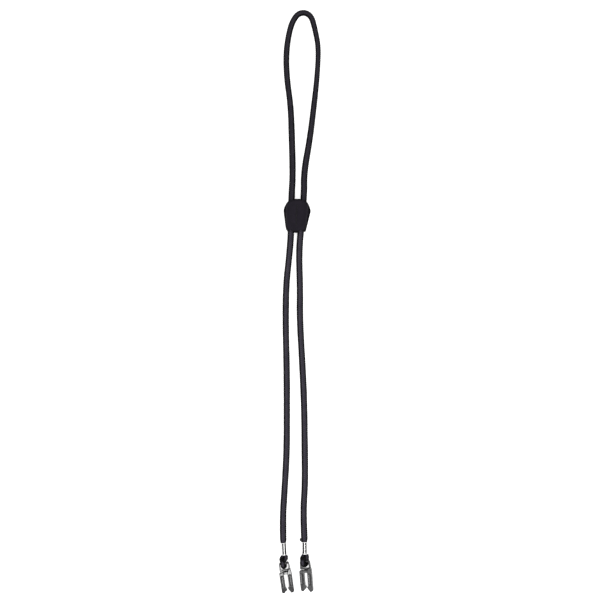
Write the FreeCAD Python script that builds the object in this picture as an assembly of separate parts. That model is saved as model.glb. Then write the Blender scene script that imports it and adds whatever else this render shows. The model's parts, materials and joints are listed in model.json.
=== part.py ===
"""Eyeglass retainer strap: a braided cord doubled at the neck, a leather slider, and a clip on each end.

Millimetres. The strap lies flat on the XY plane with the neck loop towards +Y and the clips towards -Y.
The origin is the middle of the slider's flat back. +X is to the right with the clips at the bottom.
"""

import FreeCAD
import Part

import math
import os

V = FreeCAD.Vector

# Cord
CORD_R = 1.8
CORE_R = 1.1
LOOP_R = 1.35
LEG_OFFSET = 0.85
LEG_SPREAD = 1.3
FRONT_LEG_U = -0.85
BACK_LEG_U = 0.3

# Slider
LEATHER = 1.2
CHANNEL_R = 1.95
SLIDER_REACH = 12.4
MOUTH_R = 2.0
MOUTH_TOP_Y = 10.3
MOUTH_BOTTOM_Y = -10.95
THREAD_R = 0.22
STITCH_LENGTH = 1.7
STITCH_PITCH = 2.5
STITCHES = 5

# Ferrule: an oval tube pressed round the doubled cord
FERRULE_HALF_WIDTH = 2.0
FERRULE_HALF_DEPTH = 2.3
FERRULE_WALL = 0.35
FERRULE_LENGTH = 7.4
GROOVE_R = 0.3
GROOVE_X = 0.7
GROOVE_LENGTH = 6.1
GROOVE_START = -0.35

# Clip, in its own frame: u across, v along the prongs (tips at -v), w out of its face, bar axis at v = 0
BAR_R = 0.7
BEND_R = 2.15
RING_HALF_WIDTH = 3.25
RING_HALF_HOLE = 2.3
RING_HALF_THICKNESS = 1.0
HOLE_END = -3.9
RING_END = -4.7
JAW_TOP = -5.25
LEDGE_END = JAW_TOP + 0.1
LEDGE_TOP_W = -0.3
RABBET = 0.65
JAW_END = -18.7
JAW_HALF_WIDTH = 3.75
SLOT_HALF_WIDTH = 1.05
PRONG_HALF_THICKNESS = 1.4
WEB_HALF_HEIGHT = 0.72
WEB_HALF_THICKNESS = 1.2
KNUCKLE = (-0.9, JAW_TOP - WEB_HALF_HEIGHT)
KNUCKLE_CLEARANCE = 0.08
TOOTH_V = -16.0
TOOTH_REACH = 0.7
BEAD = (-1.5, -15.9)
BEAD_R = 1.1
BEAD_HALF_THICKNESS = 1.6
SCOOP_HALF_WIDTH = 0.9
SCOOP_DEPTH = 0.35
SCOOP_V = (-7.9, -13.6)

# Slider outline, down each side from the top edge; the third and sixth points are the middles of arcs
SLIDER_LEFT = [
    (-4.6, 9.75),
    (-5.6, 8.1),
    (-7.35, 5.65),
    (-8.15, 2.6),
    (-7.0, -6.7),
    (-6.55, -8.35),
    (-5.4, -9.75),
]
SLIDER_RIGHT = [
    (4.9, 9.75),
    (5.8, 8.0),
    (7.35, 5.65),
    (8.2, 2.4),
    (5.6, -7.9),
    (5.45, -8.8),
    (5.1, -9.6),
]
SLIDER_BOTTOM = (-0.9, -10.4)

CHANNEL_Z = LEATHER + CHANNEL_R
REST_Z = CORD_R
FERRULE_Z = FERRULE_HALF_DEPTH

# Routes of the cord's three stretches. Neighbouring stretches meet inside the slider.
LEFT_CHANNEL = V(-3.55, 0, CHANNEL_Z)
RIGHT_CHANNEL = V(3.02, 0, CHANNEL_Z)
NECK_LOOP = [
    LEFT_CHANNEL,
    V(-3.35, 11.5, CHANNEL_Z),
    V(-2.55, 24, REST_Z),
    V(-3.1, 46, REST_Z),
    V(-3.8, 66, REST_Z),
    V(-6.15, 82, REST_Z),
    V(-6.65, 98, REST_Z),
    V(-4.3, 112.6, REST_Z),
    V(-1.0, 119.5, REST_Z),
    V(2.1, 121.7, REST_Z),
    V(5.9, 121.5, REST_Z),
    V(8.8, 118.9, REST_Z),
    V(10.6, 112.4, REST_Z),
    V(12.95, 101, REST_Z),
    V(12.1, 84, REST_Z),
    V(10.15, 66, REST_Z),
    V(7.55, 45, REST_Z),
    V(4.1, 26, REST_Z),
    V(4.25, 11.5, CHANNEL_Z),
    RIGHT_CHANNEL,
]
LEFT_STRAND = [
    LEFT_CHANNEL,
    V(-3.6, -11.5, CHANNEL_Z),
    V(-4.9, -26, REST_Z),
    V(-6.65, -42, REST_Z),
    V(-6.9, -66, REST_Z),
    V(-6.2, -92, REST_Z),
    V(-6.15, -118, REST_Z),
    V(-6.2, -142, REST_Z),
    V(-7.6, -166, REST_Z),
    V(-8.65, -182, REST_Z),
    V(-8.3, -196.2, FERRULE_Z),
]
RIGHT_STRAND = [
    RIGHT_CHANNEL,
    V(1.95, -11.5, CHANNEL_Z),
    V(1.15, -24, REST_Z),
    V(1.8, -44, REST_Z),
    V(1.6, -62, REST_Z),
    V(3.1, -88, REST_Z),
    V(4.25, -112, REST_Z),
    V(4.6, -140, REST_Z),
    V(4.8, -161, REST_Z),
    V(3.6, -179, REST_Z),
    V(4.5, -195.6, FERRULE_Z),
]


class ClipPlace:
    """Where one clip hangs: the middle of its eye bar, and how it is turned there."""

    def __init__(self, bar, yaw_deg, roll_deg, pitch_deg):
        turn_yaw = FreeCAD.Rotation(V(0, 0, 1), yaw_deg)
        turn_roll = FreeCAD.Rotation(V(0, 1, 0), roll_deg)
        turn_pitch = FreeCAD.Rotation(V(1, 0, 0), pitch_deg)
        self.bar = bar
        self.eye = turn_yaw.multiply(turn_roll)
        self.clip = self.eye.multiply(turn_pitch)

    def at_eye(self, u, v, w):
        """A point of the eye bar's frame, which leaves out the clip's pitch, in the row frame."""
        return self.bar + self.eye.multVec(V(u, v, w))

    def placed(self, shape):
        moved = shape.copy()
        moved.Placement = FreeCAD.Placement(self.bar, self.clip)
        return moved


LEFT_CLIP = ClipPlace(V(-7.9, -208.3, 3.6), 8.7, 5, 6.2)
RIGHT_CLIP = ClipPlace(V(4.72, -207.2, 3.55), 3.3, -16, 4.2)
LEFT_FERRULE = (LEFT_STRAND[-1], 3.0)
RIGHT_FERRULE = (RIGHT_STRAND[-1], 1.0)
LEFT_GROOVES = 0.4
RIGHT_GROOVES = -0.05


def unit(vector):
    return vector / vector.Length


def route_edges(points):
    """Straight runs joined by tangent arcs, and the arcs' radii."""
    edges = []
    radii = []
    last = points[0]
    for before, corner, after in zip(points, points[1:], points[2:]):
        run_in = corner - before
        run_out = after - corner
        half_turn = run_in.getAngle(run_out) / 2
        reach = 0.45 * min(run_in.Length, run_out.Length)
        radius = reach / math.tan(half_turn)
        start = corner - unit(run_in) * reach
        end = corner + unit(run_out) * reach
        inward = unit(unit(run_out) - unit(run_in))
        middle = corner + inward * radius * (1 / math.cos(half_turn) - 1)
        edges.append(Part.LineSegment(last, start).toShape())
        edges.append(Part.Arc(start, middle, end).toShape())
        radii.append(radius)
        last = end
    edges.append(Part.LineSegment(last, points[-1]).toShape())
    return edges, radii


def sweep(edges, radius):
    """A round solid along edges that follow on from one another."""
    first = edges[0]
    start = first.valueAt(first.FirstParameter)
    along = first.tangentAt(first.FirstParameter)
    section = Part.Wire(Part.makeCircle(radius, start, along))
    return Part.Wire(edges).makePipe(Part.Face(section))


def tube(name, points, radius, legs=1):
    """A round solid along a route. Prints the route's length, its radii and how its volume compares.

    A route whose two ends press together is made as two legs, so that they join where they meet.
    """
    edges, radii = route_edges(points)
    share = math.ceil(len(edges) / legs)
    pieces = [sweep(edges[n : n + share], radius) for n in range(0, len(edges), share)]
    solid = pieces[0].multiFuse(pieces[1:]) if legs > 1 else pieces[0]
    length = sum(edge.Length for edge in edges)
    ideal = math.pi * radius**2 * length
    bends = " ".join(f"{r:.1f}" for r in radii)
    print(f"{name}: length {length:.1f}, volume/ideal {solid.Volume / ideal:.4f}, radii {bends}")
    return solid


def cord(name, points):
    """The braided sheath and the yarn core that fills it."""
    core = tube(name + "_core", points, CORE_R)
    whole = tube(name + "_sheath", points, CORD_R)
    return {name + "_sheath": whole.cut(core), name + "_core": core}


def prism(points, z_low, z_high):
    """An upright solid over a closed outline of straight sides."""
    corners = [V(x, y, z_low) for x, y in points]
    outline = Part.makePolygon(corners + corners[:1])
    return Part.Face(outline).extrude(V(0, 0, z_high - z_low))


def channel_x(channel, strand, y):
    """Where a cord's straight stretch through the slider is at y."""
    mouth = strand[1]
    return channel.x + (mouth.x - channel.x) * y / mouth.y


def slider_lines():
    """The two cords' straight stretches through the slider, as (start, direction, length)."""
    reach = SLIDER_REACH
    lines = []
    for channel, strand in ((LEFT_CHANNEL, LEFT_STRAND), (RIGHT_CHANNEL, RIGHT_STRAND)):
        low = V(channel_x(channel, strand, -reach), -reach, CHANNEL_Z)
        high = V(channel_x(channel, strand, reach), reach, CHANNEL_Z)
        lines.append((low, high - low))
    return lines


def slider_outline():
    """The shield shape: a straight top edge, round shoulders, sides that taper, and a bowed bottom edge."""
    edges = []
    for side in (SLIDER_LEFT, SLIDER_RIGHT):
        p = [V(x, y, 0) for x, y in side]
        edges.append(Part.LineSegment(p[0], p[1]).toShape())
        edges.append(Part.Arc(p[1], p[2], p[3]).toShape())
        edges.append(Part.LineSegment(p[3], p[4]).toShape())
        edges.append(Part.Arc(p[4], p[5], p[6]).toShape())
    ends = [V(*side[n], 0) for side in (SLIDER_LEFT, SLIDER_RIGHT) for n in (0, -1)]
    edges.append(Part.LineSegment(ends[0], ends[2]).toShape())
    edges.append(Part.Arc(ends[1], V(*SLIDER_BOTTOM, 0), ends[3]).toShape())
    return Part.Wire(Part.__sortEdges__(edges))


def slider_blank(z_low, z_high):
    """The shield outline as a plate, with an arched mouth round each cord's way in and out."""
    outline = slider_outline()
    outline.translate(V(0, 0, z_low))
    blank = Part.Face(outline).extrude(V(0, 0, z_high - z_low))
    for (low, run), shift in zip(slider_lines(), (0.0, 0.6)):
        for y, sideways in ((MOUTH_TOP_Y, 0.0), (MOUTH_BOTTOM_Y, shift)):
            x = low.x + run.x * (y - low.y) / run.y + sideways
            blank = blank.cut(Part.makeCylinder(MOUTH_R, z_high - z_low, V(x, y, z_low)))
    return blank


def between_cords(z_low, z_high):
    """The block between the two cords' axes."""
    (left, left_run), (right, right_run) = slider_lines()
    corners = [left, right, right + right_run, left + left_run]
    return prism([(c.x, c.y) for c in corners], z_low, z_high)


def cord_rods(radius):
    """A rod along each cord's stretch through the slider."""
    rods = [Part.makeCylinder(radius, run.Length, low, run) for low, run in slider_lines()]
    return rods[0].fuse(rods[1])


def slider_front():
    """Leather formed over both cords: a flat top, round shoulders and thin side flanges."""
    outer_r = CHANNEL_R + LEATHER
    raised = cord_rods(outer_r).fuse(between_cords(LEATHER, CHANNEL_Z + outer_r))
    flange = slider_blank(LEATHER, 2 * LEATHER)
    bulge = raised.common(slider_blank(LEATHER, CHANNEL_Z + outer_r))
    hollow = cord_rods(CHANNEL_R).fuse(between_cords(LEATHER, CHANNEL_Z + CHANNEL_R))
    return flange.fuse(bulge).cut(hollow).removeSplitter()


def slider_spacer():
    """The filler strip that keeps the two cords apart."""
    trimmed = between_cords(LEATHER, CHANNEL_Z + CHANNEL_R).common(slider_blank(LEATHER, 2 * CHANNEL_Z))
    return trimmed.cut(cord_rods(CHANNEL_R))


def stitch_places():
    """The middle of each stitch of the centre seam, and the seam's direction."""
    (left, left_run), (right, right_run) = slider_lines()
    start = (left + right) / 2
    run = (left_run + right_run) / 2
    along = unit(run)
    middle = start + run / 2
    first = -(STITCHES - 1) / 2
    return [(middle + along * STITCH_PITCH * (first + n), along) for n in range(STITCHES)]


def stitch(middle, along):
    """One closed turn of thread through front, spacer and back."""
    top = CHANNEL_Z + CHANNEL_R + LEATHER
    half = along * STITCH_LENGTH / 2
    ends = [V(middle.x, middle.y, 0) - half, V(middle.x, middle.y, 0) + half]
    pieces = []
    for end in ends:
        pieces.append(Part.makeCylinder(THREAD_R, top - THREAD_R, V(end.x, end.y, THREAD_R)))
    for z in (THREAD_R, top):
        start = V(ends[0].x, ends[0].y, z)
        pieces.append(Part.makeCylinder(THREAD_R, STITCH_LENGTH, start, along))
        pieces.append(Part.makeSphere(THREAD_R, start))
        pieces.append(Part.makeSphere(THREAD_R, start + along * STITCH_LENGTH))
    return pieces[0].multiFuse(pieces[1:])


def slider_stitching():
    return Part.makeCompound([stitch(middle, along) for middle, along in stitch_places()])


def oval(half_width, half_depth, length):
    """An oval rod along -Y, centred on the Y axis, from y = 0."""
    ellipse = Part.Ellipse(V(0, 0, 0), half_depth, half_width).toShape()
    face = Part.Face(Part.Wire(ellipse))
    face.rotate(V(0, 0, 0), V(0, 0, 1), 90)
    face.rotate(V(0, 0, 0), V(1, 0, 0), 90)
    return face.extrude(V(0, -length, 0))


def ferrule_placed(shape, place):
    top, lean_deg = place
    moved = shape.copy()
    moved.Placement = FreeCAD.Placement(top, FreeCAD.Rotation(V(0, 0, 1), lean_deg))
    return moved


def ferrule_point(place, x, y, z):
    """A point given from the middle of the ferrule's top end."""
    top, lean_deg = place
    return top + FreeCAD.Rotation(V(0, 0, 1), lean_deg).multVec(V(x, y, z))


def ferrule(place, grooves_x):
    """The metal tube, with a pair of pressed crimp grooves along its front and its back."""
    wall = oval(FERRULE_HALF_WIDTH, FERRULE_HALF_DEPTH, FERRULE_LENGTH)
    bore_width = FERRULE_HALF_WIDTH - FERRULE_WALL
    bore_depth = FERRULE_HALF_DEPTH - FERRULE_WALL
    shell = wall.cut(oval(bore_width, bore_depth, FERRULE_LENGTH))
    for x in (grooves_x - GROOVE_X, grooves_x + GROOVE_X):
        surface = FERRULE_HALF_DEPTH * math.sqrt(1 - (x / FERRULE_HALF_WIDTH) ** 2)
        outside = 1 + GROOVE_R / 2 / surface
        for side in (-1, 1):
            middle = V(x * outside, GROOVE_START, side * surface * outside)
            shell = shell.cut(Part.makeCylinder(GROOVE_R, GROOVE_LENGTH, middle, V(0, -1, 0)))
    return ferrule_placed(shell, place)


def end_loop(name, place, clip):
    """The end of the cord. It leaves the ferrule, crosses the clip's eye bar and comes back behind it."""
    foot = -FERRULE_LENGTH
    half_bend = BEND_R * math.tan(math.radians(22.5))
    middle = (FRONT_LEG_U + BACK_LEG_U) / 2
    front = [
        ferrule_point(place, -LEG_OFFSET, foot, 0),
        ferrule_point(place, -LEG_SPREAD, foot - 1.7, 1.2),
        clip.at_eye(FRONT_LEG_U, 0.9, BEND_R + 0.1),
        clip.at_eye(FRONT_LEG_U + 0.15, -half_bend, BEND_R),
        clip.at_eye(middle - 0.35, -BEND_R, half_bend),
    ]
    back = [
        clip.at_eye(middle + 0.35, -BEND_R, -half_bend),
        clip.at_eye(BACK_LEG_U - 0.15, -half_bend, -BEND_R),
        clip.at_eye(BACK_LEG_U, 0.9, -BEND_R - 0.02),
        ferrule_point(place, LEG_SPREAD, foot - 1.5, -0.4),
        ferrule_point(place, LEG_OFFSET, foot, 0),
    ]
    loop = tube(name, front + back, LOOP_R, legs=2)
    bore_width = FERRULE_HALF_WIDTH - FERRULE_WALL
    bore_depth = FERRULE_HALF_DEPTH - FERRULE_WALL
    crimped = ferrule_placed(oval(bore_width, bore_depth, FERRULE_LENGTH), place)
    return loop.fuse(crimped).removeSplitter()


def cord_tail(place, strand):
    """The cut and sealed end of the doubled cord, a nub on the ferrule beside the strand."""
    radius = 0.9
    foot = ferrule_point(place, -1.2, 0, 0.1)
    tip = ferrule_point(place, -2.15, 1.3, 0.1)
    axis = tip - foot
    nub = Part.makeCylinder(radius, axis.Length, foot, axis).fuse(Part.makeSphere(radius, tip))
    above = Part.makeBox(10, 10, 10, V(-5, 0, -5))
    beside = nub.common(ferrule_placed(above, place)).cut(strand)
    return max(beside.Solids, key=lambda solid: solid.Volume)


def outline_plate(points, half_thickness, rounded):
    """A plate with the given (u, v, corner radius) outline, its two faces' edges rounded off."""
    edges = []
    count = len(points)
    starts = []
    for n, (u, v, radius) in enumerate(points):
        corner = V(u, v, 0)
        before = V(*points[n - 1][:2], 0) - corner
        after = V(*points[(n + 1) % count][:2], 0) - corner
        if radius == 0:
            starts.append((corner, corner))
            continue
        half_inside = before.getAngle(after) / 2
        reach = radius / math.tan(half_inside)
        start = corner + unit(before) * reach
        end = corner + unit(after) * reach
        inward = unit(unit(before) + unit(after))
        middle = corner + inward * radius * (1 / math.sin(half_inside) - 1)
        edges.append(Part.Arc(start, middle, end).toShape())
        starts.append((start, end))
    for n, (_, end) in enumerate(starts):
        following = starts[(n + 1) % count][0]
        if (following - end).Length > 1e-6:
            edges.append(Part.LineSegment(end, following).toShape())
    outline = Part.Wire(Part.__sortEdges__(edges))
    outline.translate(V(0, 0, -half_thickness))
    plate = Part.Face(outline).extrude(V(0, 0, 2 * half_thickness))
    if rounded == 0:
        return plate
    rims = [e for e in plate.Edges if abs(abs(e.CenterOfMass.z) - half_thickness) < 1e-6]
    return plate.makeFillet(rounded, rims)


def scoop(u):
    """The shallow hollow moulded along a prong's front face."""
    radius = (SCOOP_HALF_WIDTH**2 + SCOOP_DEPTH**2) / (2 * SCOOP_DEPTH)
    height = PRONG_HALF_THICKNESS - SCOOP_DEPTH + radius
    top, bottom = (V(u, v, height) for v in SCOOP_V)
    rod = Part.makeCylinder(radius, top.y - bottom.y, bottom, V(0, 1, 0))
    return rod.multiFuse([Part.makeSphere(radius, top), Part.makeSphere(radius, bottom)])


def clip_frame():
    """Eye ring with a ledge below it, fixed prong with its hooked tooth, and the fixed half of the web."""
    ring = outline_plate(
        [
            (-RING_HALF_WIDTH + 0.2, BAR_R, 1.3),
            (RING_HALF_WIDTH - 0.2, BAR_R, 1.3),
            (RING_HALF_WIDTH + 0.2, RING_END, 0),
            (-RING_HALF_WIDTH, RING_END, 0.6),
        ],
        RING_HALF_THICKNESS,
        0.25,
    )
    hole = outline_plate(
        [
            (-RING_HALF_HOLE, BAR_R + 2, 0),
            (RING_HALF_HOLE, BAR_R + 2, 0),
            (RING_HALF_HOLE, HOLE_END, 0.9),
            (-RING_HALF_HOLE, HOLE_END, 0.9),
        ],
        RING_HALF_THICKNESS + 1,
        0,
    )
    bar_length = 2 * RING_HALF_HOLE + 1
    bar = Part.makeCylinder(BAR_R, bar_length, V(-bar_length / 2, 0, 0), V(1, 0, 0))
    prong = outline_plate(
        [
            (SLOT_HALF_WIDTH + 0.7, RING_END + 0.6, 0),
            (RING_HALF_WIDTH, RING_END + 1.4, 0.5),
            (JAW_HALF_WIDTH, JAW_TOP - 0.4, 0.8),
            (JAW_HALF_WIDTH, JAW_END + 0.3, 1.25),
            (SLOT_HALF_WIDTH + 0.85, JAW_END, 0.5),
            (SLOT_HALF_WIDTH - TOOTH_REACH, TOOTH_V - 0.1, 0.25),
            (SLOT_HALF_WIDTH - TOOTH_REACH, TOOTH_V + 0.5, 0.2),
            (SLOT_HALF_WIDTH, TOOTH_V + 1.2, 0.4),
            (SLOT_HALF_WIDTH, JAW_TOP - 0.5, 0),
        ],
        PRONG_HALF_THICKNESS,
        0.3,
    )
    web = prism(
        [
            (KNUCKLE[0], JAW_TOP),
            (SLOT_HALF_WIDTH + 0.9, JAW_TOP),
            (SLOT_HALF_WIDTH + 0.9, JAW_TOP - 2 * WEB_HALF_HEIGHT),
            (KNUCKLE[0], JAW_TOP - 2 * WEB_HALF_HEIGHT),
        ],
        -WEB_HALF_THICKNESS,
        WEB_HALF_THICKNESS,
    )
    socket_r = WEB_HALF_HEIGHT + KNUCKLE_CLEARANCE
    socket = Part.makeCylinder(socket_r, 4, V(KNUCKLE[0], KNUCKLE[1], -2))
    prong = prong.cut(scoop((SLOT_HALF_WIDTH + JAW_HALF_WIDTH) / 2))
    ledge = prism(
        [
            (-RING_HALF_WIDTH + 0.15, RING_END + 0.2),
            (SLOT_HALF_WIDTH + 0.9, RING_END + 0.2),
            (SLOT_HALF_WIDTH + 0.9, LEDGE_END),
            (-RING_HALF_WIDTH + 0.15, LEDGE_END),
        ],
        -RING_HALF_THICKNESS,
        LEDGE_TOP_W,
    )
    pieces = [bar, prong, web.cut(socket), ledge]
    return ring.cut(hole).multiFuse(pieces).removeSplitter()


def clip_jaw():
    """Sprung prong with its round catch bead, cut back to clear the ledge, and the knuckle it turns on."""
    prong = outline_plate(
        [
            (-JAW_HALF_WIDTH, JAW_TOP, 0.9),
            (-SLOT_HALF_WIDTH, JAW_TOP, 0),
            (-SLOT_HALF_WIDTH, BEAD[1] - 0.9, 0.4),
            (-2.3, JAW_END + 0.3, 0.6),
            (-JAW_HALF_WIDTH, JAW_END + 0.8, 1.0),
        ],
        PRONG_HALF_THICKNESS,
        0.3,
    )
    web = prism(
        [
            (-SLOT_HALF_WIDTH - 0.9, JAW_TOP),
            (KNUCKLE[0], JAW_TOP),
            (KNUCKLE[0], JAW_TOP - 2 * WEB_HALF_HEIGHT),
            (-SLOT_HALF_WIDTH - 0.9, JAW_TOP - 2 * WEB_HALF_HEIGHT),
        ],
        -WEB_HALF_THICKNESS,
        WEB_HALF_THICKNESS,
    )
    knuckle = Part.makeCylinder(
        WEB_HALF_HEIGHT, 2 * WEB_HALF_THICKNESS, V(KNUCKLE[0], KNUCKLE[1], -WEB_HALF_THICKNESS)
    )
    bead = Part.makeCylinder(BEAD_R, 2 * BEAD_HALF_THICKNESS, V(BEAD[0], BEAD[1], -BEAD_HALF_THICKNESS))
    prong = prong.cut(scoop(-(SLOT_HALF_WIDTH + JAW_HALF_WIDTH) / 2))
    rabbet = prism(
        [
            (-JAW_HALF_WIDTH - 1, JAW_TOP + 1),
            (KNUCKLE[0], JAW_TOP + 1),
            (KNUCKLE[0], JAW_TOP - RABBET),
            (-JAW_HALF_WIDTH - 1, JAW_TOP - RABBET),
        ],
        -PRONG_HALF_THICKNESS - 1,
        LEDGE_TOP_W + 0.1,
    )
    return prong.fuse(web).cut(rabbet).multiFuse([knuckle, bead]).removeSplitter()


def slider_nodes():
    stitching = slider_stitching()
    return {
        "slider_front": slider_front(),
        "slider_spacer": slider_spacer(),
        "slider_back": slider_blank(0, LEATHER),
        "slider_stitching": stitching,
    }


def end_nodes(side, place, grooves_x, clip):
    """Everything at one end of the strap below its strand."""
    return {
        f"{side}_ferrule": ferrule(place, grooves_x),
        f"{side}_end_loop": end_loop(f"{side}_end_loop", place, clip),
        f"{side}_clip_frame": clip.placed(clip_frame()),
        f"{side}_clip_jaw": clip.placed(clip_jaw()),
    }


def model():
    nodes = {}
    nodes.update(cord("neck_loop", NECK_LOOP))
    nodes.update(cord("left_strand", LEFT_STRAND))
    nodes.update(cord("right_strand", RIGHT_STRAND))
    nodes.update(slider_nodes())
    nodes.update(end_nodes("left", LEFT_FERRULE, LEFT_GROOVES, LEFT_CLIP))
    nodes.update(end_nodes("right", RIGHT_FERRULE, RIGHT_GROOVES, RIGHT_CLIP))
    nodes["right_cord_tail"] = cord_tail(RIGHT_FERRULE, nodes["right_strand_sheath"])
    return nodes


def main():
    os.makedirs("parts", exist_ok=True)
    for name, shape in model().items():
        box = shape.optimalBoundingBox(False)
        print(
            f"{name}: solids {len(shape.Solids)}, valid {shape.isValid()}, volume {shape.Volume:.2f}, "
            f"x {box.XMin:.2f} {box.XMax:.2f}, y {box.YMin:.2f} {box.YMax:.2f}, "
            f"z {box.ZMin:.2f} {box.ZMax:.2f}"
        )
        shape.exportStep(os.path.join("parts", name + ".step"))


main()
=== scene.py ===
"""Eyeglass retainer strap: braided cord, leather slider, crimped ferrules and moulded clips. Metres."""

import json
import math

import bpy
import numpy as np
from mathutils import Matrix, Vector


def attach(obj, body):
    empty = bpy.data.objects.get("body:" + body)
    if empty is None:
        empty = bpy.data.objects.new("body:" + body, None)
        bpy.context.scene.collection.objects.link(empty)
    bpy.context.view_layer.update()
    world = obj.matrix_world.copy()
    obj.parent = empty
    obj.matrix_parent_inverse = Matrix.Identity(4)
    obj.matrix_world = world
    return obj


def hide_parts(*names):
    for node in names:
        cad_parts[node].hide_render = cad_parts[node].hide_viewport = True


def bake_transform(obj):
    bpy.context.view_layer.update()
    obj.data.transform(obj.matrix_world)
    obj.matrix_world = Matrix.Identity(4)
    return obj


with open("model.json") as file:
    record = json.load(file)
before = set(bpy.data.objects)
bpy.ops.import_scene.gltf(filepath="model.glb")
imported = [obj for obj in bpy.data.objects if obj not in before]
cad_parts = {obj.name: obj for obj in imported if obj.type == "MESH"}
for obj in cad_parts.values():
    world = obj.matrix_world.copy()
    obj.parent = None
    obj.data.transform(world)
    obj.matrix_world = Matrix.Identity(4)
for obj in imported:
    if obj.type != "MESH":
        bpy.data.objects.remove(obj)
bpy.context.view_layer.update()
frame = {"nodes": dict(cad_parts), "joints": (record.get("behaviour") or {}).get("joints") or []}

MM = 0.001

# Routes of the cord's three stretches, the same points as the CAD tubes'.
NECK_LOOP = [
    (-0.00355, 0.0, 0.00315),
    (-0.00335, 0.0115, 0.00315),
    (-0.00255, 0.024, 0.0018),
    (-0.0031, 0.046, 0.0018),
    (-0.0038, 0.066, 0.0018),
    (-0.00615, 0.082, 0.0018),
    (-0.00665, 0.098, 0.0018),
    (-0.0043, 0.1126, 0.0018),
    (-0.001, 0.1195, 0.0018),
    (0.0021, 0.1217, 0.0018),
    (0.0059, 0.1215, 0.0018),
    (0.0088, 0.1189, 0.0018),
    (0.0106, 0.1124, 0.0018),
    (0.01295, 0.101, 0.0018),
    (0.0121, 0.084, 0.0018),
    (0.01015, 0.066, 0.0018),
    (0.00755, 0.045, 0.0018),
    (0.0041, 0.026, 0.0018),
    (0.00425, 0.0115, 0.00315),
    (0.00302, 0.0, 0.00315),
]
LEFT_STRAND = [
    (-0.00355, 0.0, 0.00315),
    (-0.0036, -0.0115, 0.00315),
    (-0.0049, -0.026, 0.0018),
    (-0.00665, -0.042, 0.0018),
    (-0.0069, -0.066, 0.0018),
    (-0.0062, -0.092, 0.0018),
    (-0.00615, -0.118, 0.0018),
    (-0.0062, -0.142, 0.0018),
    (-0.0076, -0.166, 0.0018),
    (-0.00865, -0.182, 0.0018),
    (-0.0083, -0.1962, 0.0023),
]
RIGHT_STRAND = [
    (0.00302, 0.0, 0.00315),
    (0.00195, -0.0115, 0.00315),
    (0.00115, -0.024, 0.0018),
    (0.0018, -0.044, 0.0018),
    (0.0016, -0.062, 0.0018),
    (0.0031, -0.088, 0.0018),
    (0.00425, -0.112, 0.0018),
    (0.0046, -0.14, 0.0018),
    (0.0048, -0.161, 0.0018),
    (0.0036, -0.179, 0.0018),
    (0.0045, -0.1956, 0.0023),
]

# Cord: an oval braid, with YARN_LINES lines of yarn side by side round it. Each yarn stays on top for STITCH
# of the cord's length. The surface is a ring of RING_POINTS points every RING_STEP, and its width wavers by
# about WAVER of itself. The neck loop's yarn is NECK_TONE as bright as the strands'.
CORD_WIDTH = 3.93 * MM
CORD_HEIGHT = 3.6 * MM
YARN_LINES = 8
STITCH = 1.25 * MM
BRAID_RELIEF = 0.16 * MM
MEAN_YARN_HEIGHT = 0.75
FILAMENTS = 4
WAVER = 0.012
NECK_TONE = 0.58
RING_STEP = 0.2 * MM
RING_POINTS = 48

# Painted shade: a cord's flanks are painted darker as the upward part of its surface's direction falls from
# the first to the second.
PAINTED_FLANK_SHADE = (0.97, 0.72)

# The neck loop thins over this stretch of Y, in millimetres: by the first share on its left branch and by
# the second on its right.
NECK_THINS = (30, 95)
NECK_THINNING = (0.09, 0.19)

# A strand is pressed by its ferrule over this stretch, in millimetres from its end: it is narrower by the
# first share and higher by the second.
STRAND_PRESSED = (3.2, 1.0)
STRAND_PRESSING = (0.14, 0.05)

# End loops, in millimetres: how far from each end they swell out of the ferrule and close in on the eye bar,
# how far from the middle of the bar their line goes round it, half their width in the ferrule, in the open
# and round the bar, and half their height in the ferrule and outside it.
LOOP_SWELLS = (0.9, 4.0)
LOOP_CLOSES = (3.9, 5.3)
LOOP_BEND = 2.15
LOOP_HALF_WIDTHS = (0.78, 1.63, 1.43)
LOOP_HALF_HEIGHTS = (1.25, 1.35)
LOOP_STEP = 0.12 * MM
LOOP_POINTS = 40

# Ferrules: an oval tube each. Its top is its strand's end.
FERRULE_LENGTH = 7.4 * MM
FERRULE_HALF_WIDTH = 2.0 * MM
FERRULE_HALF_DEPTH = 2.3 * MM
FERRULE_WALL = 0.35 * MM
FERRULE_LIP = 0.17 * MM
FERRULE_TUCK = 0.05 * MM
FERRULE_RINGS = 75
FERRULE_POINTS = 144

# Crimp grooves: how far each of the two is from their middle, its width, and its depth as a share of the
# tube's radius. Each end of a groove goes from nothing to its full depth over a stretch, in millimetres from
# the ferrule's top.
GROOVE_OFFSET = 0.7 * MM
GROOVE_WIDTH = 0.27 * MM
GROOVE_DEPTH = 0.11
GROOVE_HEAD = (0.15, 0.55)
GROOVE_FOOT = (7.1, 6.5)

# Clip: where its front face starts to slope towards the tips, and how steeply. The web that joins the jaw to
# the frame is a box in millimetres from the eye bar.
TIP_SLOPE_START = -14.0 * MM
TIP_SLOPE = 0.14
WEB_LOW = (-1.0, -6.74, -1.24)
WEB_HIGH = (1.45, -5.22, 1.24)

# Voxel sizes of the remeshed pieces.
NUB_VOXEL = 0.08 * MM
CLIP_VOXEL = 0.12 * MM
LEATHER_VOXEL = 0.15 * MM

# Slider outline in millimetres, down each side from the top edge; the third and sixth points are the
# middles of curves.
SLIDER_LEFT = [
    (-4.6, 9.75),
    (-5.6, 8.1),
    (-7.35, 5.65),
    (-8.15, 2.6),
    (-7.0, -6.7),
    (-6.55, -8.35),
    (-5.4, -9.75),
]
SLIDER_RIGHT = [
    (4.9, 9.75),
    (5.8, 8.0),
    (7.35, 5.65),
    (8.2, 2.4),
    (5.6, -7.9),
    (5.45, -8.8),
    (5.1, -9.6),
]
SLIDER_BOTTOM = (-0.9, -10.4)
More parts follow.
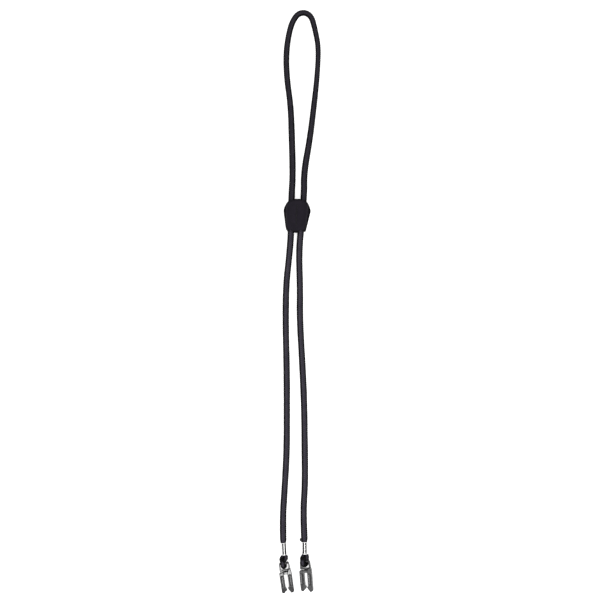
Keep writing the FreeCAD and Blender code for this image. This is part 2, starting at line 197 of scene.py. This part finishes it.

# The leather's border, in millimetres in from its edge: where its painted edge shade goes from none to full,
# and its pressed line.
PAINTED_EDGE_SHADE_SPAN = (1.3, 0.5)
LINE_INSET = 1.25
LINE_WIDTH = 0.2
LINE_DEPTH = 0.13

# The camera is straight above the strap, as far away as a product picture is taken from.
CAMERA_PLACE = (0.00174, -0.0507, 0.852)

# The studio: its brightness from straight down to straight up, and the place that its lamps point at.
SKY = [(0.0, 0.03), (0.48, 0.05), (0.52, 0.45), (0.75, 0.95), (1.0, 1.25)]
LIT_PLACE = (0, -0.2, 0)
FLOOR_GAP = 0.05 * MM


def grey(level):
    return (level, level, level)


def set_stops(ramp, stops):
    """Gives a colour ramp node its stops, each a position and a colour."""
    elements = ramp.color_ramp.elements
    while len(elements) < len(stops):
        elements.new(0.5)
    for element, (position, colour) in zip(elements, stops):
        element.position = position
        element.color = (*colour, 1.0)


def eye_bar(side):
    """The middle of a clip's eye bar, which the clip swings on."""
    return next(joint["pos_m"] for joint in frame["joints"] if joint["name"] == f"{side}_clip_swing")


class End:
    """One end of the strap: its ferrule, its clip's eye bar and how the cord's two legs cross it.

    The ferrule leans, and its two grooves are off its middle by groove. The clip is turned by yaw, roll and
    pitch. legs are the places of the cord's front and back leg along the eye bar.
    """

    def __init__(self, side, strand, lean_deg, groove, yaw_deg, roll_deg, pitch_deg, legs):
        self.side = side
        self.strand = strand
        self.groove = groove * MM
        self.legs = legs
        self.ferrule = Matrix.Translation(strand[-1]) @ Matrix.Rotation(math.radians(lean_deg), 4, "Z")
        yaw = Matrix.Rotation(math.radians(yaw_deg), 4, "Z")
        roll = Matrix.Rotation(math.radians(roll_deg), 4, "Y")
        self.eye = Matrix.Translation(eye_bar(side)) @ yaw @ roll
        self.clip = self.eye @ Matrix.Rotation(math.radians(pitch_deg), 4, "X")

    def at_ferrule(self, x, y, z):
        """A point given in millimetres from the middle of the ferrule's top end."""
        return self.ferrule @ Vector((x * MM, y * MM, z * MM))

    def at_eye(self, u, v, w):
        """A point given in millimetres from the middle of the eye bar."""
        return self.eye @ Vector((u * MM, v * MM, w * MM))


ENDS = [
    End(
        "left",
        LEFT_STRAND,
        lean_deg=3.0,
        groove=0.4,
        yaw_deg=8.7,
        roll_deg=5,
        pitch_deg=6.2,
        legs=(-0.85, 0.4),
    ),
    End(
        "right",
        RIGHT_STRAND,
        lean_deg=1.0,
        groove=-0.05,
        yaw_deg=3.3,
        roll_deg=-16,
        pitch_deg=4.2,
        legs=(-0.9, 0.5),
    ),
]


# ---------------------------------------------------------------- camera, light and floor


def add_camera():
    data = bpy.data.cameras.new("camera")
    data.lens = 85
    data.sensor_width = 36
    data.clip_start = 0.01
    camera = bpy.data.objects.new("camera", data)
    camera.location = CAMERA_PLACE
    bpy.context.collection.objects.link(camera)
    bpy.context.scene.camera = camera


def add_area_light(name, location, size, radiance):
    """A softbox of the given brightness, whatever its size, that points at the strap's clips."""
    data = bpy.data.lights.new(name, "AREA")
    data.shape = "RECTANGLE"
    data.size, data.size_y = size
    data.energy = radiance * math.pi * size[0] * size[1]
    lamp = bpy.data.objects.new(name, data)
    lamp.location = location
    lamp.rotation_euler = (Vector(LIT_PLACE) - Vector(location)).to_track_quat("-Z", "Y").to_euler()
    bpy.context.collection.objects.link(lamp)


def add_world():
    """A white studio, brightest overhead."""
    world = bpy.data.worlds.new("studio")
    world.use_nodes = True
    nodes = world.node_tree.nodes
    links = world.node_tree.links
    direction = nodes.new("ShaderNodeTexCoord").outputs["Generated"]
    height = nodes.new("ShaderNodeSeparateXYZ")
    links.new(direction, height.inputs[0])
    place = nodes.new("ShaderNodeMapRange")
    place.inputs["From Min"].default_value = -1.0
    links.new(height.outputs["Z"], place.inputs["Value"])
    ramp = nodes.new("ShaderNodeValToRGB")
    links.new(place.outputs["Result"], ramp.inputs["Fac"])
    set_stops(ramp, [(position, grey(level)) for position, level in SKY])
    links.new(ramp.outputs["Color"], nodes["Background"].inputs["Color"])
    bpy.context.scene.world = world


def staged(name, corners, faces, material):
    """A surface of the studio. It isn't part of the strap, and it doesn't light the cords' sides."""
    mesh = bpy.data.meshes.new(name)
    mesh.from_pydata(corners, [], faces)
    mesh.materials.append(material)
    surface = bpy.data.objects.new(name, mesh)
    surface.location = (0, 0, -FLOOR_GAP)
    surface.visible_diffuse = False
    bpy.context.collection.objects.link(surface)
    return surface


def add_studio(material):
    """A white floor, and a white wall all round it that casts no shadow or reflection."""
    reach = 3.0
    height = 4.0
    sides = 48
    corners = [(-reach, -reach, 0), (reach, -reach, 0), (reach, reach, 0), (-reach, reach, 0)]
    staged("floor", corners, [(0, 1, 2, 3)], material)
    angle = np.linspace(0, 2 * math.pi, sides, endpoint=False)
    ring = np.stack([reach * np.cos(angle), reach * np.sin(angle)], axis=1)
    corners = [(x, y, z) for z in (0, height) for x, y in ring]
    wall = staged("wall", corners, ring_faces(2, sides, closed=False), material)
    wall.visible_glossy = False
    wall.visible_shadow = False


# ---------------------------------------------------------------- materials


class Shader:
    """A Principled material and short calls for its nodes."""

    def __init__(self, name, **sockets):
        self.material = bpy.data.materials.new(name)
        self.material.use_nodes = True
        self.nodes = self.material.node_tree.nodes
        self.links = self.material.node_tree.links
        self.surface = self.nodes["Principled BSDF"]
        for socket, value in sockets.items():
            self.surface.inputs[socket.replace("_", " ")].default_value = value

    def add(self, kind, inputs=None, **settings):
        """A new node with these settings, its inputs linked where a socket is given and set elsewhere."""
        node = self.nodes.new(kind)
        for key, value in settings.items():
            setattr(node, key, value)
        for key, value in (inputs or {}).items():
            if isinstance(value, bpy.types.NodeSocket):
                self.links.new(value, node.inputs[key])
            else:
                node.inputs[key].default_value = value
        return node

    def attribute(self, name):
        return self.add("ShaderNodeAttribute", attribute_name=name).outputs["Fac"]

    def place(self):
        return self.add("ShaderNodeTexCoord").outputs["Object"]

    def noise(self, vector, scale, detail):
        node = self.add("ShaderNodeTexNoise", {"Vector": vector, "Scale": scale, "Detail": detail})
        return node.outputs["Fac"]

    def ramp(self, factor, stops):
        node = self.add("ShaderNodeValToRGB", {"Fac": factor})
        set_stops(node, stops)
        return node.outputs["Color"]

    def times(self, first, second):
        node = self.add("ShaderNodeMix", data_type="RGBA", blend_type="MULTIPLY")
        node.inputs[0].default_value = 1.0
        self.links.new(first, node.inputs[6])
        self.links.new(second, node.inputs[7])
        return node.outputs[2]

    def feed(self, socket, source):
        self.links.new(source, self.surface.inputs[socket])

    def bump(self, height, strength, depth_mm):
        depth = depth_mm * MM
        node = self.add("ShaderNodeBump", {"Height": height, "Strength": strength, "Distance": depth})
        self.feed("Normal", node.outputs["Normal"])


def paper_material():
    """White paper with a glow of its own, which washes out the shadows beside the cords."""
    return Shader(
        "studio_paper",
        Base_Color=(*grey(0.8), 1.0),
        Roughness=0.9,
        Specular_IOR_Level=0.0,
        Emission_Color=(*grey(1.0), 1.0),
        Emission_Strength=0.7,
    ).material


def braid_material():
    """Black polyester yarn: violet-grey on the yarns' crowns, with painted shade between them and on the
    flanks.

    Each yarn is a bundle of filaments, which are fine ridges along it.
    """
    shader = Shader("cord_braid", Roughness=0.75, Specular_IOR_Level=0.08)
    # Painted shade: the yarn is painted darker between its crowns, where shade falls.
    gap_shade_stops = [(0.05, (0.009, 0.008, 0.011)), (0.95, (0.061, 0.055, 0.074))]
    yarn = shader.ramp(shader.attribute("crown"), gap_shade_stops)
    # Painted shade on the cord's flanks, darker the less they face up.
    painted_flank_darkening = shader.ramp(shader.attribute("painted_flank_shade"), [(0.0, grey(1.0)), (1.0, grey(0.03))])
    tone = shader.ramp(shader.attribute("tone"), [(0.0, grey(0.0)), (1.0, grey(1.0))])
    mottle = shader.noise(shader.place(), 260.0, 3.0)
    wear = shader.ramp(mottle, [(0.3, (0.72, 0.73, 0.76)), (0.7, (1.0, 0.99, 0.97))])
    shader.feed("Base Color", shader.times(shader.times(yarn, painted_flank_darkening), shader.times(tone, wear)))
    filament = shader.attribute("filament")
    turns = shader.add("ShaderNodeMath", {0: filament, 1: 2 * math.pi * FILAMENTS}, operation="MULTIPLY")
    ridges = shader.add("ShaderNodeMath", {0: turns.outputs[0]}, operation="SINE")
    shader.bump(ridges.outputs[0], 0.5, 0.04)
    return shader.material


def leather_material():
    """Matt black leather with a fine pebbled grain and painted shade darkening its edges."""
    shader = Shader("slider_leather", Specular_IOR_Level=0.09)
    place = shader.place()
    mottle = shader.noise(place, 300.0, 5.0)
    pebbles = shader.add("ShaderNodeTexVoronoi", {"Vector": place, "Scale": 2600.0}).outputs["Distance"]
    face = shader.ramp(mottle, [(0.3, (0.0085, 0.007, 0.011)), (0.75, (0.0145, 0.012, 0.018))])
    # Painted shade: the leather is painted darker towards the slider's edge.
    painted_edge_shade = shader.ramp(shader.attribute("painted_edge_shade"), [(0.0, grey(1.0)), (1.0, grey(0.15))])
    shader.feed("Base Color", shader.times(face, painted_edge_shade))
    shader.feed("Roughness", shader.ramp(mottle, [(0.2, grey(0.66)), (0.8, grey(0.85))]))
    shader.bump(pebbles, 0.35, 0.08)
    return shader.material


def thread_material():
    shader = Shader("stitch_thread", Roughness=0.5, Specular_IOR_Level=0.2)
    fibre = shader.noise(shader.place(), 4000.0, 2.0)
    shader.feed("Base Color", shader.ramp(fibre, [(0.3, grey(0.004)), (0.7, grey(0.010))]))
    shader.bump(fibre, 0.3, 0.04)
    return shader.material


def metal_material():
    """Bright nickel plate with faint draw lines along the tube and painted shade in its crimp grooves."""
    shader = Shader("ferrule_metal", Metallic=1.0)
    drawn = shader.add("ShaderNodeMapping", {"Vector": shader.place(), "Scale": (5000.0, 250.0, 5000.0)})
    lines = shader.noise(drawn.outputs["Vector"], 1.0, 2.0)
    plate = shader.ramp(lines, [(0.3, grey(0.84)), (0.7, grey(0.93))])
    # Painted shade: the crimp grooves are painted nearly black.
    painted_groove_shade = shader.ramp(shader.attribute("groove"), [(0.03, grey(1.0)), (0.16, grey(0.005))])
    shader.feed("Base Color", shader.times(plate, painted_groove_shade))
    shader.feed("Roughness", shader.ramp(lines, [(0.3, grey(0.16)), (0.7, grey(0.26))]))
    shader.bump(lines, 0.08, 0.02)
    return shader.material


def plastic_material():
    """Glossy black moulded nylon, very slightly uneven."""
    shader = Shader("clip_plastic", Specular_IOR_Level=0.5)
    flow = shader.noise(shader.place(), 450.0, 3.0)
    nylon = shader.ramp(flow, [(0.3, (0.008, 0.008, 0.009)), (0.7, (0.015, 0.015, 0.017))])
    shader.feed("Base Color", nylon)
    shader.feed("Roughness", shader.ramp(flow, [(0.2, grey(0.16)), (0.8, grey(0.28))]))
    shader.bump(flow, 0.12, 0.1)
    return shader.material


def sealed_material():
    """Yarn ends melted together into a hard dark bead."""
    shader = Shader("sealed_cord_end", Roughness=0.45, Specular_IOR_Level=0.3)
    lumps = shader.noise(shader.place(), 1500.0, 4.0)
    shader.feed("Base Color", shader.ramp(lumps, [(0.3, grey(0.008)), (0.7, grey(0.022))]))
    shader.bump(lumps, 0.6, 0.1)
    return shader.material


# ---------------------------------------------------------------- cords


def route_line(name, control, step):
    """Evenly spaced points along the smooth spline of the control points, and how far along each is."""
    curve = bpy.data.curves.new(name, "CURVE")
    curve.dimensions = "3D"
    spline = curve.splines.new("NURBS")
    spline.points.add(len(control) - 1)
    for point, place in zip(spline.points, control):
        point.co = (*place, 1.0)
    spline.order_u = 3
    spline.use_endpoint_u = True
    spline.resolution_u = 32
    holder = bpy.data.objects.new(name, curve)
    bpy.context.collection.objects.link(holder)
    mesh = bpy.data.meshes.new_from_object(holder)
    line = np.array([v.co for v in mesh.vertices])
    bpy.data.objects.remove(holder)
    bpy.data.curves.remove(curve)
    bpy.data.meshes.remove(mesh)
    gone = np.r_[0.0, np.cumsum(np.linalg.norm(np.diff(line, axis=0), axis=1))]
    wanted = np.linspace(0.0, gone[-1], max(2, round(gone[-1] / step)) + 1)
    return np.stack([np.interp(wanted, gone, line[:, k]) for k in range(3)], axis=1), wanted


def directions(line):
    tangent = np.gradient(line, axis=0)
    return tangent / np.linalg.norm(tangent, axis=1, keepdims=True)


def level_frames(line):
    """Sideways and upward directions along a cord that lies about flat."""
    tangent = directions(line)
    side = np.cross(tangent, (0.0, 0.0, 1.0))
    side /= np.linalg.norm(side, axis=1, keepdims=True)
    return side, np.cross(side, tangent)


def carried_frames(line, side):
    """Sideways and upward directions carried along a line with no twist of their own."""
    sides = []
    for t in directions(line):
        side = side - t * np.dot(side, t)
        side = side / np.linalg.norm(side)
        sides.append(side)
    sides = np.array(sides)
    return sides, np.cross(sides, directions(line))


def eased(value, none_at, full_at):
    """0 at none_at, 1 at full_at and smooth between. Either of them may be the larger."""
    t = np.clip((value - none_at) / (full_at - none_at), 0, 1)
    return t * t * (3 - 2 * t)


def braid_pattern(u, v):
    """A two-over-two braid. Returns the height of its yarns, 1 on their crowns and 0 between them, and the
    place across the yarn on top."""
    first, second = u + v, u - v
    a, b = np.floor(first), np.floor(second)
    over = (a + b) % 4 < 2
    across = np.where(over, first - a, second - b)
    along = np.where(over, (a + second) % 4, (first + b) % 4 - 2) / 2
    round_top = np.sqrt(np.clip(1 - (2 * across - 1) ** 2, 0, 1))
    return round_top * (0.4 + 0.6 * np.sin(math.pi * np.clip(along, 0, 1))), across


def linked_mesh(name, vertices, faces, material, attributes=None):
    """A smooth mesh object in the scene, with its material and any point attributes."""
    mesh = bpy.data.meshes.new(name)
    mesh.from_pydata(vertices, [], faces)
    mesh.shade_smooth()
    mesh.materials.append(material)
    for key, values in (attributes or {}).items():
        layer = mesh.attributes.new(key, "FLOAT", "POINT")
        layer.data.foreach_set("value", np.asarray(values, dtype=np.float32))
    piece = bpy.data.objects.new(name, mesh)
    bpy.context.collection.objects.link(piece)
    return piece


def ring_faces(count, around, closed):
    """Quads between neighbouring rings of points, and from the last ring to the first if closed."""
    faces = []
    for i in range(count if closed else count - 1):
        here, there = i * around, (i + 1) % count * around
        for j in range(around):
            k = (j + 1) % around
            faces.append((here + j, here + k, there + k, there + j))
    return faces


def capped_tube(name, rings, material, attributes):
    """A tube through rings of points with its two ends filled."""
    count, around = rings.shape[:2]
    centres = [rings[0].mean(axis=0).tolist(), rings[-1].mean(axis=0).tolist()]
    vertices = rings.reshape(-1, 3).tolist() + centres
    faces = ring_faces(count, around, closed=False)
    first, last = count * around, count * around + 1
    last_ring = (count - 1) * around
    for j in range(around):
        k = (j + 1) % around
        faces.append((first, k, j))
        faces.append((last, last_ring + j, last_ring + k))
    filled = {key: np.r_[values.ravel(), 0.0, 0.0] for key, values in attributes.items()}
    return linked_mesh(name, vertices, faces, material, filled)


def braided_tube(name, line, gone, frames, section, material, tone=1.0):
    """A cord's surface: an oval section along a line, raised by the braid's yarns.

    gone is how far along the line each of its points is. section is half the cord's width and half its
    height at each of them, and how many points go round it. A tone below 1 darkens the yarn.
    """
    side, up = frames
    half_width, half_height, around = section
    angle = np.linspace(0, 2 * math.pi, around, endpoint=False)
    u, v = np.meshgrid(YARN_LINES * angle / (2 * math.pi), gone / STITCH)
    height, across = braid_pattern(u, v)
    rise = BRAID_RELIEF * (height - MEAN_YARN_HEIGHT)
    x = np.cos(angle)[None, :] * (half_width[:, None] + rise)
    z = np.sin(angle)[None, :] * (half_height[:, None] + rise)
    rings = line[:, None, :] + x[..., None] * side[:, None, :] + z[..., None] * up[:, None, :]
    outward = np.cos(angle)[None, :, None] * side[:, None, :] + np.sin(angle)[None, :, None] * up[:, None, :]
    # How much painted shade each point on the flanks gets.
    painted_flank_shade = eased(outward[..., 2], *PAINTED_FLANK_SHADE)
    attributes = {"crown": height, "filament": across, "painted_flank_shade": painted_flank_shade, "tone": np.full_like(height, tone)}
    return capped_tube(name, rings, material, attributes)


def slow_waves(gone, phase):
    """Small changes in a soft cord's width, in waves 45 and 17 mm long. Each cord has a phase of its own."""
    return 1 + WAVER * (np.sin(gone * 140 + phase) + 0.6 * np.sin(gone * 373 + 2.1 * phase))


def make_neck_loop(material):
    """The neck loop, pulled a little thinner towards its top, most of all on its right branch."""
    line, gone = route_line("neck_loop_route", NECK_LOOP, RING_STEP)
    upper = eased(line[:, 1] / MM, *NECK_THINS)
    on_left, on_right = NECK_THINNING
    thinned = on_left + (on_right - on_left) * eased(gone / gone[-1], 0.45, 0.6)
    half_width = CORD_WIDTH / 2 * (1 - thinned * upper) * slow_waves(gone, phase=1.0)
    half_height = CORD_HEIGHT / 2 * (1 + 0.02 * upper)
    name = "neck_loop_cord"
    frames = level_frames(line)
    section = (half_width, half_height, RING_POINTS)
    piece = braided_tube(name, line, gone, frames, section, material, NECK_TONE)
    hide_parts("neck_loop_sheath", "neck_loop_core")
    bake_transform(piece)


def make_strand(end, material):
    """One strand from inside the slider to its ferrule, where it is pressed narrower."""
    control = end.strand[:-1] + [tuple(end.at_ferrule(0, -1.2, 0))]
    line, gone = route_line(f"{end.side}_strand_route", control, RING_STEP)
    pressed = eased((gone[-1] - gone) / MM, *STRAND_PRESSED)
    narrower, higher = STRAND_PRESSING
    waves = slow_waves(gone, phase=end.groove / MM)
    half_width = CORD_WIDTH / 2 * waves * (1 - narrower * pressed)
    half_height = CORD_HEIGHT / 2 * (1 + higher * pressed)
    section = (half_width, half_height, RING_POINTS)
    name = f"{end.side}_strand_cord"
    piece = braided_tube(name, line, gone, level_frames(line), section, material)
    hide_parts(f"{end.side}_strand_sheath", f"{end.side}_strand_core")
    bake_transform(piece)


def end_loop_route(end):
    """Out of the ferrule, across the front of the eye bar, round it and back up behind.

    Round the bar the points are the corners of part of an octagon.
    """
    foot = -FERRULE_LENGTH / MM
    bend = LOOP_BEND
    half_bend = bend * math.tan(math.radians(22.5))
    front, back = end.legs
    middle = (front + back) / 2
    return [
        end.at_ferrule(-0.8, foot + 1.2, 0),
        end.at_ferrule(-0.85, foot + 0.2, 0),
        end.at_ferrule(-1.35, foot - 2.5, 1.2),
        end.at_eye(front, 0.9, bend + 0.1),
        end.at_eye(front, -half_bend, bend),
        end.at_eye(middle - 0.5, -bend, half_bend),
        end.at_eye(middle + 0.5, -bend, -half_bend),
        end.at_eye(back, -half_bend, -bend),
        end.at_eye(back, 1.5, -bend),
        end.at_ferrule(1.25, foot - 1.8, -0.5),
        end.at_ferrule(0.85, foot + 0.2, 0),
        end.at_ferrule(0.8, foot + 1.2, 0),
    ]


def make_end_loop(end, material):
    """The short loop through the clip's eye, pinched where its two legs share the ferrule."""
    line, gone = route_line(f"{end.side}_end_loop_route", end_loop_route(end), LOOP_STEP)
    from_end = np.minimum(gone, gone[-1] - gone) / MM
    swell = eased(from_end, *LOOP_SWELLS)
    closed_in = eased(from_end, *LOOP_CLOSES)
    held, free, at_bar = LOOP_HALF_WIDTHS
    half_width = (held + (free - held) * swell + (at_bar - free) * closed_in) * MM
    held, free = LOOP_HALF_HEIGHTS
    half_height = (held + (free - held) * swell) * MM
    frames = carried_frames(line, np.array([1.0, 0.0, 0.0]))
    section = (half_width, half_height, LOOP_POINTS)
    name = f"{end.side}_end_loop_cord"
    piece = braided_tube(name, line, gone, frames, section, material)
    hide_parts(f"{end.side}_end_loop")
    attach(piece, "strap")


def make_tail(material):
    """The melted end of the doubled cord, lumpy where it was pressed off."""
    piece = copied("right_tail_nub", "right_cord_tail", material)
    softened(piece, NUB_VOXEL, 4)
    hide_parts("right_cord_tail")
    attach(piece, "strap")


# ---------------------------------------------------------------- ferrules


def ferrule_ring(end, y, inset, angle, groove):
    """Points round the oval tube at one height, set in by a distance and then pressed in by a share."""
    x = np.cos(angle) * (FERRULE_HALF_WIDTH - inset) * (1 - groove)
    z = np.sin(angle) * (FERRULE_HALF_DEPTH - inset) * (1 - groove)
    return np.array([end.ferrule @ Vector((px, y, pz)) for px, pz in zip(x, z)])


def groove_marks(end, angle):
    """1 in the middle of either groove and 0 away from both, for each point round the tube."""
    x = np.cos(angle) * FERRULE_HALF_WIDTH
    middles = (end.groove - GROOVE_OFFSET, end.groove + GROOVE_OFFSET)
    return np.max([np.exp(-(((x - middle) / GROOVE_WIDTH) ** 2)) for middle in middles], axis=0)


def rim_inset(from_end):
    """How far the tube's outside is drawn in at its rolled rim."""
    if from_end >= FERRULE_LIP:
        return 0.0
    return FERRULE_LIP - math.sqrt(FERRULE_LIP**2 - (FERRULE_LIP - from_end) ** 2)


def make_ferrule(end, material):
    """A drawn oval tube with rolled rims and crimp grooves, as one closed shell."""
    angle = np.linspace(0, 2 * math.pi, FERRULE_POINTS, endpoint=False)
    around = groove_marks(end, angle)
    rings = []
    groove_shade_marks = []
    for y in np.linspace(0, FERRULE_LENGTH, FERRULE_RINGS):
        mark = around * eased(y / MM, *GROOVE_HEAD) * eased(y / MM, *GROOVE_FOOT)
        inset = rim_inset(min(y, FERRULE_LENGTH - y))
        rings.append(ferrule_ring(end, -y, inset, angle, GROOVE_DEPTH * mark))
        groove_shade_marks.append(mark)
    for y in (FERRULE_LENGTH - FERRULE_TUCK, FERRULE_TUCK):
        rings.append(ferrule_ring(end, -y, FERRULE_WALL, angle, 0.0))
        groove_shade_marks.append(np.zeros_like(angle))
    rings = np.array(rings)
    faces = ring_faces(len(rings), len(angle), closed=True)
    name = f"{end.side}_ferrule_tube"
    # The groove marks also carry the painted shade in the crimp grooves.
    attributes = {"groove": np.array(groove_shade_marks).ravel()}
    piece = linked_mesh(name, rings.reshape(-1, 3).tolist(), faces, material, attributes)
    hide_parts(f"{end.side}_ferrule")
    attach(piece, "strap")


# ---------------------------------------------------------------- solid pieces made from the CAD's


def copied(name, node, material, extra=((), ())):
    """A piece with the shape of a CAD node, and any extra vertices and faces."""
    vertices, faces = list(extra[0]), list(extra[1])
    base = len(vertices)
    mesh = frame["nodes"][node].data
    vertices += [tuple(v.co) for v in mesh.vertices]
    faces += [[base + k for k in p.vertices] for p in mesh.polygons]
    return linked_mesh(name, vertices, faces, material)


def applied(piece):
    """Puts the result of a piece's modifiers into its mesh."""
    graph = bpy.context.evaluated_depsgraph_get()
    made = bpy.data.meshes.new_from_object(piece.evaluated_get(graph))
    piece.modifiers.clear()
    piece.data = made
    made.shade_smooth()


def softened(piece, voxel, passes):
    """Remeshes a piece finely and rounds all its edges, as moulding or wear does."""
    remesh = piece.modifiers.new("even mesh", "REMESH")
    remesh.mode = "VOXEL"
    remesh.voxel_size = voxel
    smooth = piece.modifiers.new("round edges", "SMOOTH")
    smooth.factor = 0.5
    smooth.iterations = passes
    applied(piece)


def box(place, low, high):
    """The vertices and faces of a box given in millimetres in a frame."""
    corners = [(x, y, z) for x in (low[0], high[0]) for y in (low[1], high[1]) for z in (low[2], high[2])]
    vertices = [tuple(place @ (Vector(corner) * MM)) for corner in corners]
    faces = [(0, 1, 3, 2), (4, 6, 7, 5), (0, 4, 5, 1), (2, 3, 7, 6), (0, 2, 6, 4), (1, 5, 7, 3)]
    return vertices, faces


def thin_tips(piece, end):
    """Slopes the front face down towards the prongs' tips, to lead a temple arm in."""
    mesh = piece.data
    to_clip = end.clip.inverted()
    for vertex in mesh.vertices:
        u, v, w = to_clip @ vertex.co
        beyond = max(0.0, TIP_SLOPE_START - v)
        if w > 0:
            w -= TIP_SLOPE * beyond * min(1.0, w / MM)
            vertex.co = end.clip @ Vector((u, v, w))
    mesh.update()


def make_clip(end, material):
    """The clip: a frame, and the sprung jaw with the whole web."""
    frame_piece = copied(f"{end.side}_clip_body", f"{end.side}_clip_frame", material)
    softened(frame_piece, CLIP_VOXEL, 4)
    thin_tips(frame_piece, end)
    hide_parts(f"{end.side}_clip_frame")
    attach(frame_piece, f"{end.side}_clip")
    web = box(end.clip, WEB_LOW, WEB_HIGH)
    prong = copied(f"{end.side}_clip_prong", f"{end.side}_clip_jaw", material, web)
    softened(prong, CLIP_VOXEL, 4)
    thin_tips(prong, end)
    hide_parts(f"{end.side}_clip_jaw")
    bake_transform(prong)


# ---------------------------------------------------------------- slider


def bowed(start, middle, end):
    """Points along a gentle curve through three points."""
    t = np.linspace(0, 1, 7)[:, None]
    return (1 - t) * (1 - 2 * t) * start + 4 * t * (1 - t) * middle + t * (2 * t - 1) * end


def slider_outline():
    """Points round the slider's shield outline, in metres."""
    left, right = np.array(SLIDER_LEFT), np.array(SLIDER_RIGHT)
    left_side, right_side = [
        np.vstack([side[0], bowed(*side[1:4]), bowed(*side[4:7])]) for side in (left, right)
    ]
    bottom = bowed(left[-1], np.array(SLIDER_BOTTOM), right[-1])
    return np.vstack([left_side, bottom[1:-1], right_side[::-1]]) * MM


def inside_distance(points, outline):
    """How far each point is from the nearest side of a closed outline."""
    best = np.full(len(points), np.inf)
    for a, b in zip(outline, np.roll(outline, -1, axis=0)):
        run = b - a
        t = np.clip((points - a) @ run / (run @ run), 0, 1)
        best = np.minimum(best, np.linalg.norm(points - (a + t[:, None] * run), axis=1))
    return best


def paint_edge_shade_and_line(piece):
    """Paints shade along the leather's edge and presses a thin line into its face a little way inside the
    edge.
    """
    mesh = piece.data
    places = np.array([v.co for v in mesh.vertices])
    normals = np.array([v.normal for v in mesh.vertices])
    gap = inside_distance(places[:, :2], slider_outline()) / MM
    # Painted shade, full near the outline and none further in.
    painted_edge_shade = mesh.attributes.new("painted_edge_shade", "FLOAT", "POINT")
    painted_edge_shade.data.foreach_set("value", eased(gap, *PAINTED_EDGE_SHADE_SPAN).astype(np.float32))
    line = np.exp(-(((gap - LINE_INSET) / LINE_WIDTH) ** 2)) * np.clip(normals[:, 2], 0, 1)
    places -= normals * (LINE_DEPTH * MM * line)[:, None]
    mesh.vertices.foreach_set("co", places.ravel())
    mesh.update()


def make_slider(leather, thread):
    """The slider's three leather pieces, and the thread as the CAD has it."""
    for part, passes in (("front", 9), ("back", 6), ("spacer", 3)):
        piece = copied(f"slider_{part}_leather", f"slider_{part}", leather)
        softened(piece, LEATHER_VOXEL, passes)
        if part == "front":
            paint_edge_shade_and_line(piece)
        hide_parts(f"slider_{part}")
        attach(piece, "slider")
    stitching = frame["nodes"]["slider_stitching"]
    stitching.data.materials.clear()
    stitching.data.materials.append(thread)


def main():
    add_camera()
    bpy.context.scene.view_settings.view_transform = "Standard"
    add_world()
    add_studio(paper_material())
    add_area_light("left_softbox", location=(-0.62, -0.80, 1.0), size=(0.45, 0.5), radiance=2.7)
    add_area_light("right_lamp", location=(0.19, -0.62, 1.0), size=(0.24, 0.24), radiance=18.0)
    braid = braid_material()
    metal = metal_material()
    plastic = plastic_material()
    make_neck_loop(braid)
    for end in ENDS:
        make_strand(end, braid)
    for end in ENDS:
        make_end_loop(end, braid)
        make_ferrule(end, metal)
        make_clip(end, plastic)
    make_tail(sealed_material())
    make_slider(leather_material(), thread_material())


main()
